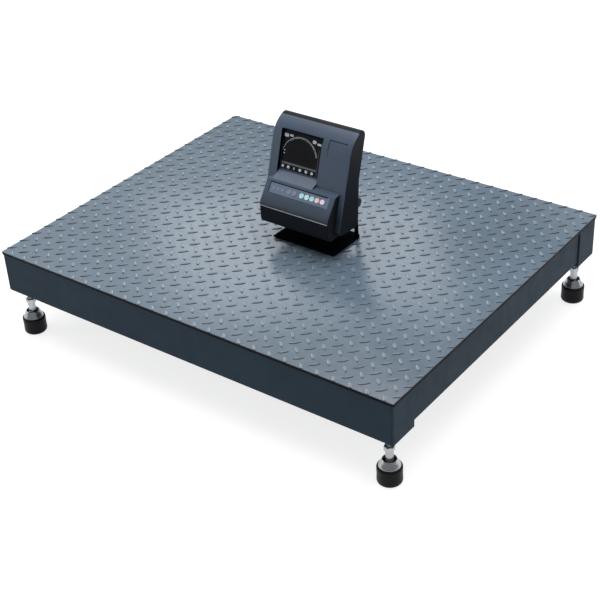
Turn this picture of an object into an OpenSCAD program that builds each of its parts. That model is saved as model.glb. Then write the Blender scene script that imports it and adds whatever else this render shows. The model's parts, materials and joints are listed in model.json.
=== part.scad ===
// Platform shipping scale: a chequer-plate deck on a welded channel frame, carried by four
// shear-beam load cells on levelling feet, with a weighing indicator on a tilting stand.
// Millimetres. The origin is on the floor under the middle of the deck: X runs left to right,
// Y from front to back and Z up.

/* [Platform] */
// Length of the deck, left to right
deck_l = 1000; // [940:10:1100]
// Width of the deck, front to back
deck_w = 800; // [760:10:900]
// Thickness of the deck plate
deck_t = 6; // [5:0.5:8]
// Height of the deck's top above the floor
deck_z = 208; // [206:1:212]
// How far the deck plate stands out past the frame
deck_lip = 2; // [1:0.5:4]
// Depth of the front and rear channels
beam_h = 90; // [88:1:92]
// Depth of the left and right channels
side_h = 80; // [66:1:84]
// Flange width of the front and rear channels
beam_flange = 70; // [66:1:76]
// Flange width of the left and right channels
side_flange = 45; // [35:1:60]
// Wall thickness of the channels
frame_wall = 5; // [4:0.5:6]

/* [Feet] */
// Distance of each foot from the outer faces of the frame
foot_inset = 28; // [27:0.5:30]
// Widest diameter of the rubber cup
cup_d = 50; // [46:1:54]
// Diameter of the plain shank above the ball
shank_d = 16; // [14:0.5:16]

/* [Indicator] */
// Distance of the indicator's middle to the right of the deck's middle
indicator_x = 43; // [-200:1:200]
// Width of the indicator's body
body_w = 198; // [190:1:210]
// Width of the raised key ledge
ledge_w = 174; // [166:1:178]
// Wall thickness of the plastic shells
shell_t = 2.5; // [2:0.1:3]
// Height of the tilt pivot above the deck
pivot_z = 95; // [93:1:97]
// Diameter of the thumb knobs
knob_d = 22; // [18:1:22]

/* [Hidden] */
$fn = 64;

deck_colour = [0.49, 0.55, 0.60];
frame_colour = [0.20, 0.25, 0.29];
zinc = [0.78, 0.79, 0.80];
steel = [0.60, 0.62, 0.64];
rubber_black = [0.07, 0.07, 0.08];
case_grey = [0.20, 0.23, 0.27];
case_black = [0.07, 0.08, 0.09];
board_green = [0.10, 0.35, 0.20];

// frame
far = 1200;
slop = 1;
frame_x = deck_l / 2 - deck_lip;
frame_y = deck_w / 2 - deck_lip;
beam_top = deck_z - deck_t;
beam_bottom = beam_top - beam_h;
side_bottom = beam_top - side_h;
foot_x = frame_x - foot_inset;
foot_y = frame_y - foot_inset;
rib_w = 40;
rib_h = 60;
rib_wall = 3;
rib_pitch = 200;

// load cells
cell_l = 130;
cell_s = 32;
cell_top = beam_top - frame_wall - 20;
cell_bottom = cell_top - cell_s;
cell_end = 14.2;
bolt_first = 76.2;
bolt_gap = 25.4;
m12_r = 6;
m12_hole_r = 6.05;
cell_clear_r = 6.6;
foot_clear_r = 18;
access_r = 13;
block_l = 58;
block_w = 36;

// junction box
box_l = 130;
box_w = 90;
box_h = 40;
box_y = 250;
box_wall = 3;
box_bottom = beam_top - box_h;
box_boss_inset = 8;
box_boss_r = 5.6;
gland_z = beam_top - 20;
gland_r = 6;
lead_r = 2.5;
lead_hole_r = 2.6;
rear_gland_x = 38;
front_gland_x = 22;
clip_ys = [-220, 40];
cell_mid = cell_top - cell_s / 2;
floor_run = beam_bottom + 8;
deck_run = beam_top - 8;
rise = beam_top - 46;

// feet
ball_z = 30;
ball_r = 11;
socket_r = 11.05;
nut_z = 74;
nut_h = 10;
stud_top = cell_bottom + 26;
insert_r = 19;
insert_floor = 16;
rim_z = 39;
cone_h = 15;

// indicator, in (Y, Z) above the deck
front_lean = 17.3;
face_foot = [-49, 70];
bottom_front = [-39.8, 66];
bottom_front_r = 10;
bottom_rear = [6, 65];
bottom_rear_r = 14;
top_rear = [41.4, 246.3];
top_rear_r = 12;
brow = [54.5, 200.1];
brow_r = 60;
kink = [27, 156];
kink_turn = 10.5;
front_normal = 180 - front_lean;
bottom_normal = 263.7;
lower_rear_normal = -4.35;
upper_rear_normal = -16.6;
brow_normal = 105.9;
ledge_top = [-40.5, 139];
ledge_top_r = 3;
ledge_bulge = [-57, 93];
ledge_bulge_r = 17;
ledge_bottom = [-59, 64];
ledge_bottom_r = 15;
slope_normal = 143.6;
slope_foot = [-52.1, 128.3];
shelf = [[-24, 140.7], [-41, 140.7], [-41, 147], [-24, 152]];
part_line_z = 92;
window_x = [-76, 27];
window_y = [88, 177];
lens_depth = 8;
lens_t = 2;
seat_gap = 0.2;
rim = 3;
badge_x = [43, 86];
badge_z = [206, 238];
strip_l = 150;
strip_w = 25;
strip_t = 0.4;
key_r = 5.5;
key_hole_r = 5.7;
key_pitch = 13;
key_gap = 6;
key_xs = [for (i = [0:6]) -24 + i * key_pitch + (i > 1 ? key_gap : 0)];
pivot_y = 34.5;
housing_hw = 75;
housing_rear = 52;
housing_z = [58, 160];
socket_z = 146;
arm_gap = 1;
arm_t = 3;
pad_t = 2.5;
knob_l = 10;
m6_r = 3;
m6_hole_r = 3.05;
screw_boss_r = 4.2;
body_hw = body_w / 2;
ledge_hw = ledge_w / 2;

// Points of an arc in the plane
function arc(c, r, a0, a1, n) =
    [for (i = [0:n]) c + r * [cos(a0 + (a1 - a0) * i / n), sin(a0 + (a1 - a0) * i / n)]];

// Side outline of the indicator's body, drawn in by t all round
function body_outline(t) = concat(
    arc(bottom_front, bottom_front_r - t, front_normal, bottom_normal, 8),
    arc(bottom_rear, bottom_rear_r - t, bottom_normal, 360 + lower_rear_normal, 8),
    [kink - t * [cos(kink_turn), -sin(kink_turn)]],
    arc(top_rear, top_rear_r - t, upper_rear_normal, brow_normal, 10),
    arc(brow, brow_r - t, brow_normal, front_normal, 10));

// Side outline of the key ledge, drawn in by t; its back lies inside the body
function ledge_outline(t) = concat(
    [[0, ledge_top[1] + ledge_top_r - t]],
    arc(ledge_top, max(ledge_top_r - t, 0.1), 90, slope_normal, 3),
    arc(ledge_bulge, ledge_bulge_r - t, slope_normal, 180, 5),
    arc(ledge_bottom, ledge_bottom_r - t, 180, 270, 7),
    [[0, ledge_bottom[1] - ledge_bottom_r + t]]);

// Side outline of the housing behind the body, which holds the battery
function housing_outline(t) = [[16, housing_z[0] + t], [housing_rear - 6, housing_z[0] + t],
    [housing_rear - t, housing_z[0] + 6], [housing_rear - t, housing_z[1] - 10],
    [housing_rear - 10, housing_z[1] - t], [16, housing_z[1] - t]];

// A point on the front face's plane, up the face by v and behind it by d
function on_front(v, d) = face_foot + v * [sin(front_lean), cos(front_lean)]
    + d * [cos(front_lean), -sin(front_lean)];

// A polyline with each inner corner cut by a short curve that starts r before it
function towards(a, b, r) = a + (b - a) / norm(b - a) * r;
function bend(a, b, c, r) = let (p = towards(b, a, r), q = towards(b, c, r))
    [for (i = [0:4]) let (u = i / 4) p * (1 - u) * (1 - u) + b * 2 * u * (1 - u) + q * u * u];
function rounded(p, r) = concat([p[0]],
    [for (i = [1:len(p) - 2]) each bend(p[i - 1], p[i], p[i + 1], r)], [p[len(p) - 1]]);
// The run of a cell lead: from the cell's end, along the channel's floor, to its gland
rear_lead = [[348, 370, cell_mid], [337, 370, cell_mid], [326, 355, floor_run],
    [90, 345, floor_run], [rear_gland_x, 340, rise], [rear_gland_x, 324, gland_z],
    [rear_gland_x, 280, gland_z]];
front_lead = [[348, -370, cell_mid], [337, -370, cell_mid], [326, -355, floor_run],
    [80, -345, floor_run], [front_gland_x, -310, rise], [front_gland_x, -270, deck_run],
    [front_gland_x, 130, deck_run], [front_gland_x, 168, gland_z],
    [front_gland_x, 220, gland_z]];

module mirrored_x() {
    children();
    mirror([1, 0, 0]) children();
}

module mirrored_xy() {
    mirrored_x() children();
    mirror([0, 1, 0]) mirrored_x() children();
}

// Steel channel with its web on the plane y = 0 and its flanges towards +Y
module channel(l, h, flange) {
    difference() {
        translate([-l / 2, 0, 0]) cube([l, flange, h]);
        translate([-l / 2 - slop, frame_wall, frame_wall])
            cube([l + 2 * slop, flange, h - 2 * frame_wall]);
    }
}

module deck_plate() {
    color(deck_colour) translate([-deck_l / 2, -deck_w / 2, beam_top])
        cube([deck_l, deck_w, deck_t]);
}

// Front channel, with clearance holes under the feet and the cell bolts
module beam() {
    difference() {
        translate([0, -frame_y, beam_bottom])
            channel(2 * (frame_x - frame_wall), beam_h, beam_flange);
        mirrored_x() {
            translate([foot_x, -foot_y, beam_bottom - slop])
                cylinder(r = foot_clear_r, h = frame_wall + 2 * slop);
            for (s = [0, bolt_gap]) translate([foot_x - bolt_first - s, -foot_y, beam_bottom - slop])
                cylinder(r = access_r, h = frame_wall + 2 * slop);
        }
    }
}

module front_channel() {
    color(frame_colour) beam();
}

module rear_channel() {
    color(frame_colour) difference() {
        mirror([0, 1, 0]) beam();
        translate([0, foot_y, beam_bottom - slop]) cylinder(r = 8.05, h = frame_wall + 2 * slop);
    }
}

module side_channel() {
    side_l = 2 * (frame_y - beam_flange);
    color(frame_colour) translate([frame_x - 3, 0, side_bottom])
        rotate([0, 0, 90]) channel(side_l, side_h, side_flange);
}

module right_channel() {
    side_channel();
}

module left_channel() {
    mirror([1, 0, 0]) side_channel();
}

module channel_end_plates() {
    color(frame_colour) mirrored_xy() translate([frame_x - frame_wall, -frame_y, beam_bottom])
        cube([frame_wall, beam_flange, beam_h]);
}

// Box-section ribs, coped at both ends to reach the webs under the top flanges
module cross_ribs() {
    half = frame_y - frame_wall;
    cope = beam_flange - frame_wall;
    color(frame_colour) for (i = [-1.5:1:1.5]) translate([i * rib_pitch, 0, beam_top - rib_h])
        difference() {
            translate([-rib_w / 2, -half, 0]) cube([rib_w, 2 * half, rib_h]);
            translate([rib_wall - rib_w / 2, -half - slop, rib_wall])
                cube([rib_w - 2 * rib_wall, 2 * (half + slop), rib_h - 2 * rib_wall]);
            for (s = [-1, 1]) translate([0, s * (half - cope / 2), rib_h])
                cube([rib_w + slop, cope, 2 * frame_wall], center = true);
        }
}

// Places a load cell's own parts at all four corners, outer end at +X
module at_cells() {
    mirrored_xy() translate([foot_x, -foot_y, 0]) children();
}

module cell_blocks() {
    color(frame_colour) at_cells() translate([-bolt_first - bolt_gap / 2, 0, cell_top])
        difference() {
            translate([-block_l / 2, -block_w / 2, 0]) cube([block_l, block_w, 20]);
            for (s = [-1, 1]) translate([s * bolt_gap / 2, 0, -slop])
                cylinder(r = m12_hole_r, h = 20 + 2 * slop);
        }
}

module load_cells() {
    pocket_x = -bolt_first / 2;
    color(zinc) at_cells() difference() {
        translate([cell_end - cell_l, -cell_s / 2, cell_bottom]) cube([cell_l, cell_s, cell_s]);
        translate([0, 0, cell_bottom - slop]) cylinder(r = m12_hole_r, h = cell_s + 2 * slop);
        for (s = [0, bolt_gap]) translate([-bolt_first - s, 0, cell_bottom - slop])
            cylinder(r = cell_clear_r, h = cell_s + 2 * slop);
        for (s = [-1, 1]) translate([pocket_x, s * cell_s / 2, (cell_top + cell_bottom) / 2])
            rotate([90, 0, 0]) cylinder(r = 10, h = 24, center = true);
        translate([cell_end - cell_l - slop, 0, (cell_top + cell_bottom) / 2])
            rotate([0, 90, 0]) cylinder(r = lead_hole_r, h = 9);
    }
}

module cell_bolts() {
    color(steel) at_cells() for (s = [0, bolt_gap]) translate([-bolt_first - s, 0, 0]) {
        translate([0, 0, cell_bottom]) cylinder(r = m12_r, h = 48);
        translate([0, 0, cell_bottom - 7.5]) cylinder(r = 10.9, h = 7.5, $fn = 6);
    }
}

// Holes in the junction box's walls, one for each gland
module at_glands() {
    for (x = [-rear_gland_x, 0, rear_gland_x])
        translate([x, box_y + box_w / 2, gland_z]) rotate([-90, 0, 0]) children();
    for (x = [-front_gland_x, front_gland_x])
        translate([x, box_y - box_w / 2, gland_z]) rotate([90, 0, 0]) children();
}

module at_box_corners() {
    for (x = [-1, 1]) for (y = [-1, 1])
        translate([x * (box_l / 2 - box_boss_inset), box_y + y * (box_w / 2 - box_boss_inset), 0])
            children();
}

module junction_box() {
    color(zinc) difference() {
        union() {
            difference() {
                translate([-box_l / 2, box_y - box_w / 2, box_bottom + box_wall])
                    cube([box_l, box_w, box_h - box_wall]);
                translate([box_wall - box_l / 2, box_y - box_w / 2 + box_wall, box_bottom])
                    cube([box_l - 2 * box_wall, box_w - 2 * box_wall, box_h - box_wall]);
            }
            at_box_corners() translate([0, 0, box_bottom + box_wall])
                cylinder(r = box_boss_r, h = box_h - box_wall);
        }
        at_box_corners() translate([0, 0, box_bottom]) cylinder(r = 2.05, h = 18);
        at_glands() cylinder(r = gland_r + 0.05, h = 30, center = true);
    }
}

module junction_box_lid() {
    color(zinc) difference() {
        translate([-box_l / 2, box_y - box_w / 2, box_bottom]) cube([box_l, box_w, box_wall]);
        at_box_corners() translate([0, 0, box_bottom - slop]) cylinder(r = 2.3, h = 10);
    }
}

module junction_box_screws() {
    color(steel) at_box_corners() {
        translate([0, 0, box_bottom]) cylinder(r = 2, h = 14);
        translate([0, 0, box_bottom - 2.4]) cylinder(r = 3.8, h = 2.4);
    }
}

module summing_board() {
    board_z = beam_top - box_wall - 6;
    color(board_green) {
        translate([-42, box_y - 26, board_z - 1.6]) cube([84, 52, 1.6]);
        for (x = [-36, 36]) for (y = [-20, 20]) translate([x, box_y + y, board_z])
            cylinder(r = 3, h = 6);
        for (x = [-26, 26]) for (y = [-19, 19])
            translate([x - 9, box_y + y - 4, board_z - 9.6]) cube([18, 8, 8]);
        for (x = [-18:12:18]) translate([x - 2.5, box_y - 3, board_z - 6.6]) cube([5, 6, 5]);
    }
}

// Cable glands: a threaded body through the wall and a hexagonal dome nut outside it
module junction_box_glands() {
    color(rubber_black) at_glands() difference() {
        union() {
            translate([0, 0, -9]) cylinder(r = gland_r, h = 12);
            cylinder(r = 9, h = 6, $fn = 6);
            translate([0, 0, 5]) cylinder(r1 = 7.5, r2 = 5, h = 8);
            translate([0, 0, -box_wall - 4]) cylinder(r = 8.6, h = 4, $fn = 6);
        }
        cylinder(r = lead_hole_r, h = 40, center = true);
    }
}

// A round lead swept along its points, with level rings
module lead(points) {
    sides = 8;
    n = len(points);
    function heading(i) = let (d = points[min(i + 1, n - 1)] - points[max(i - 1, 0)]) d / norm(d);
    function across(i) = let (s = cross([0, 0, 1], heading(i))) s / norm(s);
    rings = [for (i = [0:n - 1]) let (s = across(i), u = cross(heading(i), s))
        for (k = [0:sides - 1]) let (a = 360 * k / sides)
            points[i] + lead_r * (cos(a) * s + sin(a) * u)];
    walls = [for (i = [0:n - 2]) for (k = [0:sides - 1]) let (m = (k + 1) % sides)
        [i * sides + k, (i + 1) * sides + k, (i + 1) * sides + m, i * sides + m]];
    first = [for (k = [0:sides - 1]) k];
    last = [for (k = [sides - 1:-1:0]) (n - 1) * sides + k];
    polyhedron(points = rings, faces = concat([first], walls, [last]), convexity = 6);
}

module cell_leads() {
    color(rubber_black) mirrored_x() {
        lead(rounded(rear_lead, 14));
        lead(rounded(front_lead, 14));
    }
}

// Saddles that hold the front leads up against the deck plate
module lead_clips() {
    color(rubber_black) mirrored_x() for (y = clip_ys) difference() {
        translate([front_gland_x - 9, y - 5, deck_run - 5]) cube([18, 10, beam_top - deck_run + 5]);
        translate([front_gland_x, y, deck_run]) rotate([90, 0, 0])
            cylinder(r = lead_hole_r, h = 20, center = true);
    }
}

// Cable exit for the indicator's lead, through the rear channel's bottom flange
module skirt_gland() {
    color(rubber_black) translate([0, foot_y, beam_bottom]) difference() {
        union() {
            cylinder(r = 8, h = 14);
            translate([0, 0, -6]) cylinder(r = 12, h = 6, $fn = 6);
            translate([0, 0, -13]) cylinder(r1 = 6.5, r2 = 10, h = 7.5);
            translate([0, 0, frame_wall]) cylinder(r = 11.5, h = 4, $fn = 6);
        }
        cylinder(r = 3.2, h = 60, center = true);
    }
}

// Threaded stud of a levelling foot, with a plain shank and a ball below
module foot_stud() {
    color(zinc) {
        translate([0, 0, nut_z]) cylinder(r = m12_r, h = stud_top - nut_z);
        translate([0, 0, ball_z]) cylinder(d = shank_d, h = nut_z - ball_z);
        translate([0, 0, ball_z]) sphere(r = ball_r);
    }
}

module foot_nut() {
    color(zinc) translate([0, 0, nut_z]) difference() {
        cylinder(r = 10.9, h = nut_h, $fn = 6);
        translate([0, 0, -slop]) cylinder(r = m12_hole_r, h = nut_h + 2 * slop);
    }
}

// Plated insert that holds the ball and fills the rubber cup
module foot_insert() {
    color(zinc) difference() {
        union() {
            translate([0, 0, insert_floor]) cylinder(r = insert_r, h = rim_z - insert_floor);
            translate([0, 0, rim_z]) cylinder(r1 = 21.8, r2 = 14, h = cone_h);
        }
        translate([0, 0, ball_z]) sphere(r = socket_r);
        translate([0, 0, ball_z + 4.5]) cylinder(r1 = 9.7, r2 = 13, h = 20);
    }
}

module foot_cup() {
    foot_round = 7;
    shoulder = 4;
    color(rubber_black) rotate_extrude() polygon(concat([[0, 0]],
        arc([cup_d / 2 - foot_round, foot_round], foot_round, -90, -15, 5),
        arc([cup_d / 2 - shoulder, rim_z - shoulder], shoulder, 0, 75, 5),
        [[insert_r + 1, rim_z], [insert_r, rim_z], [insert_r, insert_floor],
            [0, insert_floor]]));
}

module at_foot(sx, sy) {
    translate([sx * foot_x, sy * foot_y, 0]) children();
}

module in_indicator() {
    translate([indicator_x, 0, deck_z]) children();
}

module extrude_x(w) {
    rotate([90, 0, 90]) linear_extrude(height = w, center = true) children();
}

// Frame on the front face: X across, Y up the face, Z out of it
module on_face() {
    translate([0, face_foot[0], face_foot[1]]) rotate([90 - front_lean, 0, 0]) children();
}

// Frame on the ledge's slope, at the middle of the key strip
module on_slope() {
    translate([0, slope_foot[0], slope_foot[1]]) rotate([slope_normal - 90, 0, 0]) children();
}

// The indicator's closed outer form, drawn in by t
module casing(t) {
    extrude_x(2 * (body_hw - t)) polygon(body_outline(t));
    extrude_x(2 * (ledge_hw - t)) polygon(ledge_outline(t));
}

module housing(t) {
    extrude_x(2 * (housing_hw - t)) polygon(housing_outline(t));
}

// What belongs to the rear shell: the back, and the ledge below the parting line
module rear_zone() {
    extrude_x(far) polygon([[36, 275], [90, 275], [90, 40], [8, 40], [12, 92], [14, 156]]);
    translate([-ledge_hw, -90, 40]) cube([2 * ledge_hw, 110, part_line_z - 40]);
}

// The window's recess, grown by g sideways and backwards
module window_recess(g) {
    low = on_front(window_y[0] - g, lens_depth + g);
    high = on_front(window_y[1] + g, lens_depth + g);
    width = window_x[1] - window_x[0] + 2 * g;
    translate([(window_x[0] + window_x[1]) / 2, 0, 0]) extrude_x(width) polygon([low, high,
        high + 70 * [-cos(front_lean), sin(front_lean)], low + [-50, -18.4 - g / 2]]);
}

module badge_prism(g) {
    translate([badge_x[0] + g, -90, badge_z[0] + g])
        cube([badge_x[1] - badge_x[0] - 2 * g, 130, badge_z[1] - badge_z[0] - 2 * g]);
}

// Screws that close the case: x, height, and the rear wall's distance back
screw_places = [[91.5, 75, 20.6], [-91.5, 75, 20.6], [86, 222, 46.5], [-86, 222, 46.5]];

module at_screws() {
    for (p = screw_places) translate([p[0], p[2], p[1]]) rotate([90, 0, 0]) children();
}

module front_shell() {
    color(case_grey) in_indicator() difference() {
        union() {
            difference() {
                casing(0);
                casing(shell_t);
            }
            intersection() {
                casing(0);
                union() {
                    window_recess(rim);
                    at_screws() cylinder(r = screw_boss_r, h = 80);
                }
            }
            translate([(window_x[0] + window_x[1]) / 2, 0, 0])
                extrude_x(window_x[1] - window_x[0] - 0.6) polygon(shelf);
            on_face() for (x = [window_x[0] + 0.5, window_x[1] - 0.5]) for (y = [100, 165])
                translate([x, y, -14]) cylinder(r = 2.5, h = 4);
            on_slope() for (x = [-70.5, -38, 70.5])
                translate([x, 0, -7.9]) cylinder(r = 2.5, h = 6.4);
        }
        rear_zone();
        window_recess(0);
        on_face() translate([window_x[0] - seat_gap, window_y[0] - seat_gap, -lens_depth - lens_t])
            cube([window_x[1] - window_x[0] + 2 * seat_gap,
                window_y[1] - window_y[0] + 2 * seat_gap, lens_t + slop]);
        on_face() translate([window_x[0] + 4, window_y[0] + 4, -lens_depth - 8])
            cube([window_x[1] - window_x[0] - 8, window_y[1] - window_y[0] - 8, 20]);
        intersection() {
            badge_prism(0);
            difference() {
                casing(-slop);
                casing(1);
            }
        }
        on_slope() translate([-strip_l / 2, -strip_w / 2, -strip_t])
            cube([strip_l, strip_w, 2]);
        on_slope() for (x = key_xs) translate([x, 0, -shell_t - slop])
            cylinder(r = key_hole_r, h = 6);
        at_screws() translate([0, 0, 4]) cylinder(r = 1.5, h = 24);
    }
}

module rear_shell() {
    color(case_black) in_indicator() difference() {
        union() {
            intersection() {
                rear_zone();
                union() {
                    difference() {
                        union() {
                            casing(0);
                            housing(0);
                        }
                        casing(shell_t);
                        housing(shell_t);
                    }
                    intersection() {
                        casing(0);
                        at_screws() translate([0, 0, 2]) cylinder(r = screw_boss_r, h = 24);
                    }
                }
            }
            for (s = [-1, 1]) translate([s * (housing_hw - 6), pivot_y, pivot_z])
                rotate([0, 90, 0]) cylinder(r = 8, h = 12, center = true);
            for (x = [-54, 54]) for (y = [-54, -10])
                translate([x, y, 50]) cylinder(r = 3, h = 9);
        }
        at_screws() translate([0, 0, -8]) cylinder(r = 3.2, h = 10);
        at_screws() cylinder(r = 1.7, h = 30);
        for (s = [-1, 1]) translate([s * housing_hw, pivot_y, pivot_z])
            rotate([0, 90, 0]) cylinder(r = m6_hole_r, h = 20, center = true);
        translate([-52, housing_rear - shell_t - slop, 61]) cube([104, 10, 70]);
        at_socket(-45) cylinder(r = 8.05, h = 20, center = true);
        at_socket(0) cube([20.2, 10.2, 20], center = true);
        at_socket(42) cylinder(r = 5.55, h = 20, center = true);
    }
}

module window_lens() {
    color([0.03, 0.03, 0.04]) in_indicator() on_face()
        translate([window_x[0] + 0.1, window_y[0] + 0.1, -lens_depth - lens_t])
            cube([window_x[1] - window_x[0] - 0.2, window_y[1] - window_y[0] - 0.2, lens_t]);
}

module badge() {
    color(case_grey) in_indicator() intersection() {
        badge_prism(0.2);
        difference() {
            casing(0.3);
            casing(1);
        }
    }
}

module display_board() {
    mid_x = (window_x[0] + window_x[1]) / 2;
    color(board_green) in_indicator() on_face() {
        translate([mid_x - 54, 92, -15.6]) cube([108, 80, 1.6]);
        for (x = [-30, 0, 30]) translate([mid_x + x - 6, 128, -18.6]) cube([12, 8, 3]);
    }
}

module digit_modules() {
    mid_x = (window_x[0] + window_x[1]) / 2;
    color([0.1, 0.1, 0.11]) in_indicator() on_face() for (i = [-2.5:1:2.5])
        translate([mid_x + i * 14 - 6.5, 116, -14]) cube([13, 24, 3.4]);
}

module keypad_board() {
    color(board_green) in_indicator() on_slope() {
        translate([-73, -8, -9.5]) cube([146, 16, 1.6]);
        for (x = key_xs) translate([x - 3, -3, -7.9]) cube([6, 6, 1.3]);
    }
}

module main_board() {
    color(board_green) in_indicator() {
        difference() {
            translate([-60, -60, 59]) cube([120, 56, 1.6]);
            for (x = [-54, 54]) for (y = [-54, -10])
                translate([x, y, 58]) cylinder(r = 1.6, h = 4);
        }
        translate([-20, -44, 60.6]) cube([14, 14, 2]);
        translate([10, -50, 60.6]) cube([22, 10, 3]);
        for (x = [-44, -34, 38, 46]) translate([x, -24, 60.6]) cylinder(r = 3, h = 10);
        translate([-24, -16, 60.6]) cube([30, 8, 6]);
    }
}

module key_label() {
    color([0.30, 0.33, 0.38]) in_indicator() on_slope() difference() {
        translate([0.1 - strip_l / 2, 0.1 - strip_w / 2, -strip_t])
            cube([strip_l - 0.2, strip_w - 0.2, strip_t]);
        for (x = key_xs) translate([x, 0, -slop]) cylinder(r = key_hole_r, h = 3);
    }
}

// A push key: a cap through the shell, a flange that holds it in and a stem to its switch
module key(i, shade) {
    color(shade) in_indicator() on_slope() translate([key_xs[i], 0, 0]) {
        translate([0, 0, -shell_t - slop]) cylinder(r = key_r, h = shell_t + slop + 0.8);
        translate([0, 0, -shell_t - slop]) cylinder(r = 6.2, h = slop - 0.05);
        translate([0, 0, -6]) cylinder(r = 1.5, h = 3);
    }
}

module battery() {
    color([0.25, 0.26, 0.28]) in_indicator() {
        translate([-50, 2, 60.6]) cube([100, 44, 67]);
        for (x = [-38, 38]) translate([x - 3, 10, 127.6]) cube([6, 1, 5]);
    }
}

module battery_cover() {
    color(case_black) in_indicator() {
        translate([-51.8, housing_rear - shell_t, 61.2]) cube([103.6, shell_t, 69.6]);
        translate([-12, housing_rear, 122]) cube([24, 1.5, 3]);
    }
}

module at_socket(x) {
    translate([x, housing_rear, socket_z]) rotate([-90, 0, 0]) children();
}

// Round seven-pole socket for the platform's lead
module cell_socket() {
    color(zinc) in_indicator() at_socket(-45) {
        difference() {
            union() {
                cylinder(r = 10, h = 2);
                translate([0, 0, -10]) cylinder(r = 8, h = 15);
            }
            translate([0, 0, -2]) cylinder(r = 6.4, h = 10);
        }
        translate([0, 0, -2.5]) cylinder(r = 0.8, h = 6);
        for (a = [0:60:300]) rotate([0, 0, a]) translate([4, 0, -2.5]) cylinder(r = 0.8, h = 6);
    }
}

// Nine-pole D-shaped data socket with its two jack posts
module serial_socket() {
    color(zinc) in_indicator() at_socket(0) {
        translate([-15.5, -6.2, 0]) cube([31, 12.4, 1]);
        translate([-10, -5, -9]) cube([20, 10, 9.5]);
        linear_extrude(height = 6) polygon([[-8.3, -3.9], [8.3, -3.9], [7.2, 3.9], [-7.2, 3.9]]);
        for (x = [-12.5, 12.5]) translate([x, 0, 0]) cylinder(r = 2.5, h = 6, $fn = 6);
    }
}

// Low-voltage power jack with its centre pin
module power_inlet() {
    color(rubber_black) in_indicator() at_socket(42) {
        difference() {
            union() {
                cylinder(r = 7.5, h = 2);
                translate([0, 0, -12]) cylinder(r = 5.5, h = 13);
            }
            translate([0, 0, -8]) cylinder(r = 3, h = 12);
        }
        translate([0, 0, -9]) cylinder(r = 1, h = 9.5);
    }
}

module shell_screws() {
    color(steel) in_indicator() at_screws() {
        translate([0, 0, -0.8]) cylinder(r = 3, h = 2.8);
        cylinder(r = 1.45, h = 26);
    }
}

// Base plate with two upright arms, in one folded piece of steel
module stand_bracket() {
    arm_x = housing_hw + arm_gap;
    base_hw = arm_x + arm_t;
    base_top = pad_t + arm_t;
    color(case_black) in_indicator() difference() {
        union() {
            translate([-base_hw, -45, pad_t]) cube([2 * base_hw, 91, arm_t]);
            translate([-base_hw + 12, -45, pad_t]) cube([2 * base_hw - 24, 103, arm_t]);
            for (s = [-1, 1]) translate([s * (base_hw - 12), 46, pad_t])
                cylinder(r = 12, h = arm_t);
            for (s = [-1, 1]) translate([s * (arm_x + arm_t / 2), 0, 0]) {
                extrude_x(arm_t) polygon([[38, base_top - slop], [46, base_top - slop],
                    [45.5, pivot_z], [23.5, pivot_z], [30, 60]]);
                translate([0, pivot_y, pivot_z]) rotate([0, 90, 0])
                    cylinder(r = 11, h = arm_t, center = true);
            }
        }
        for (x = [-60, 60]) for (y = [-30, 40]) translate([x, y, 0])
            cylinder(r = 2.75, h = 20);
        translate([0, pivot_y, pivot_z]) rotate([0, 90, 0])
            cylinder(r = 3.3, h = far, center = true);
    }
}

module stand_pads() {
    color(rubber_black) in_indicator() for (x = [-68, 68]) for (y = [-34, 46])
        translate([x, y, 0]) cylinder(r = 6, h = pad_t);
}

// Thumb knob with a fluted rim, on the bolt that clamps an arm to the housing
module knob() {
    outer = housing_hw + arm_gap + arm_t + 0.5;
    color(rubber_black) in_indicator() translate([0, pivot_y, pivot_z]) rotate([0, 90, 0]) {
        translate([0, 0, housing_hw - 8]) cylinder(r = m6_r, h = outer - housing_hw + 9);
        difference() {
            translate([0, 0, outer]) cylinder(d = knob_d, h = knob_l);
            for (a = [0:30:330]) rotate([0, 0, a]) translate([knob_d / 2 + 1, 0, outer - slop])
                cylinder(r = 2, h = knob_l + 2 * slop);
        }
    }
}

module right_knob() {
    knob();
}

module left_knob() {
    translate([2 * indicator_x, 0, 0]) mirror([1, 0, 0]) knob();
}

deck_plate();
front_channel();
rear_channel();
left_channel();
right_channel();
channel_end_plates();
cross_ribs();
cell_blocks();
load_cells();
cell_bolts();
junction_box();
junction_box_lid();
junction_box_screws();
summing_board();
junction_box_glands();
cell_leads();
lead_clips();
skirt_gland();
at_foot(-1, -1) foot_stud();  // front_left_stud
at_foot(-1, -1) foot_nut();  // front_left_nut
at_foot(-1, -1) foot_insert();  // front_left_insert
at_foot(-1, -1) foot_cup();  // front_left_cup
at_foot(1, -1) foot_stud();  // front_right_stud
at_foot(1, -1) foot_nut();  // front_right_nut
at_foot(1, -1) foot_insert();  // front_right_insert
at_foot(1, -1) foot_cup();  // front_right_cup
at_foot(-1, 1) foot_stud();  // rear_left_stud
at_foot(-1, 1) foot_nut();  // rear_left_nut
at_foot(-1, 1) foot_insert();  // rear_left_insert
at_foot(-1, 1) foot_cup();  // rear_left_cup
at_foot(1, 1) foot_stud();  // rear_right_stud
at_foot(1, 1) foot_nut();  // rear_right_nut
at_foot(1, 1) foot_insert();  // rear_right_insert
at_foot(1, 1) foot_cup();  // rear_right_cup
stand_bracket();
stand_pads();
left_knob();
right_knob();
front_shell();
rear_shell();
window_lens();
badge();
display_board();
digit_modules();
keypad_board();
main_board();
key_label();
battery();
battery_cover();
cell_socket();
serial_socket();
power_inlet();
shell_screws();
key(0, [0.55, 0.55, 0.62]);  // key_1
key(1, [0.55, 0.52, 0.62]);  // key_2
key(2, [0.35, 0.62, 0.70]);  // key_3
key(3, [0.40, 0.65, 0.68]);  // key_4
key(4, [0.50, 0.68, 0.76]);  // key_5
key(5, [0.80, 0.62, 0.52]);  // key_6
key(6, [0.80, 0.66, 0.72]);  // key_7
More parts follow.
